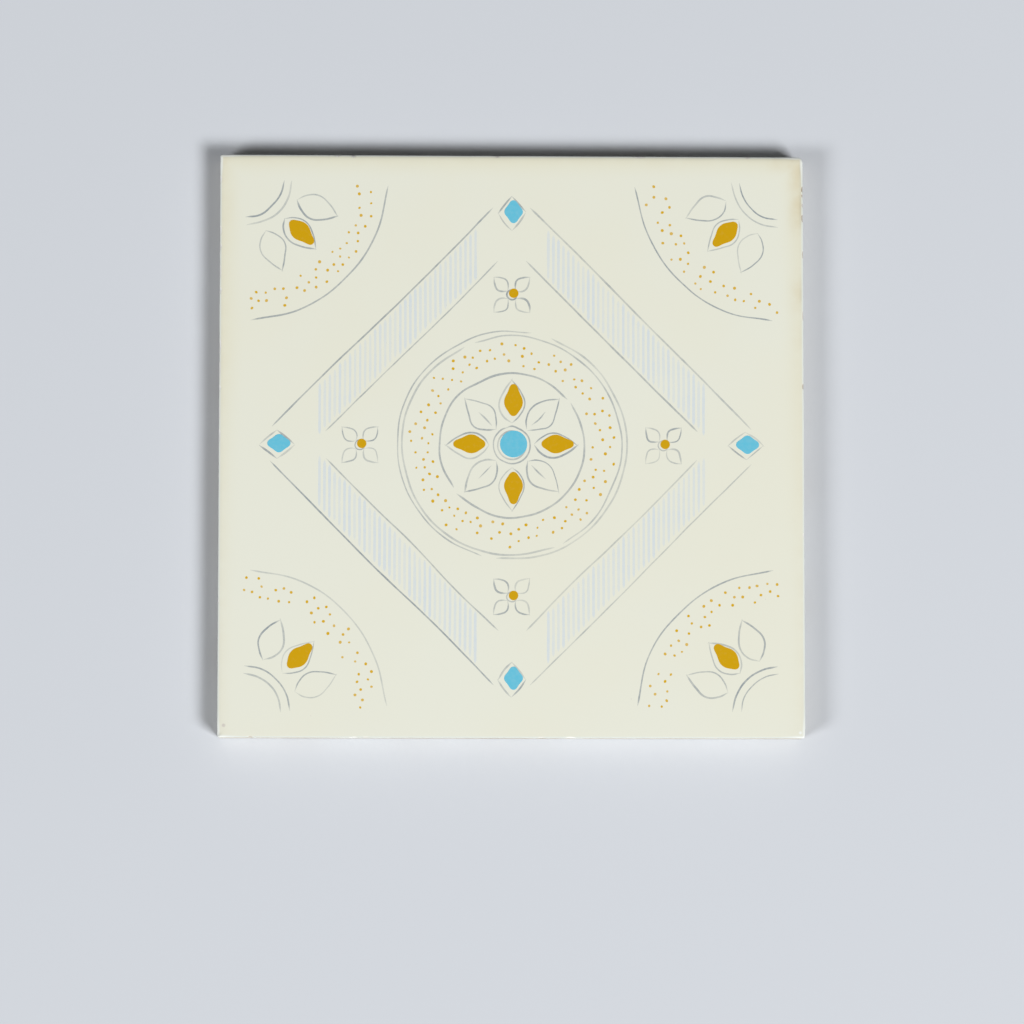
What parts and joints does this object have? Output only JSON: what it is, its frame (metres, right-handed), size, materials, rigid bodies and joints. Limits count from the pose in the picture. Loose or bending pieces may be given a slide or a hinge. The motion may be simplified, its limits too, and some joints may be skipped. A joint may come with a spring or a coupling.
{
  "type": "ceramic wall tile",
  "caption": "Square glazed earthenware wall tile with a rolled face edge and a grid of pressed key pockets on its back, for fixing to a wall in courses.",
  "frame": {"origin": "centre of the tile, on the plane of its back ribs", "axes": "+Z out of the glazed face, +X and +Y along two sides, with +Y towards the top of the printed face"},
  "size_m": [0.1524, 0.1524, 0.008],
  "materials": {
    "glaze": "ivory gloss glaze with fine coloured print on the face, bare biscuit on the back"
  },
  "bodies": {
    "root": {"tile": "glaze"}
  },
  "joints": []
}
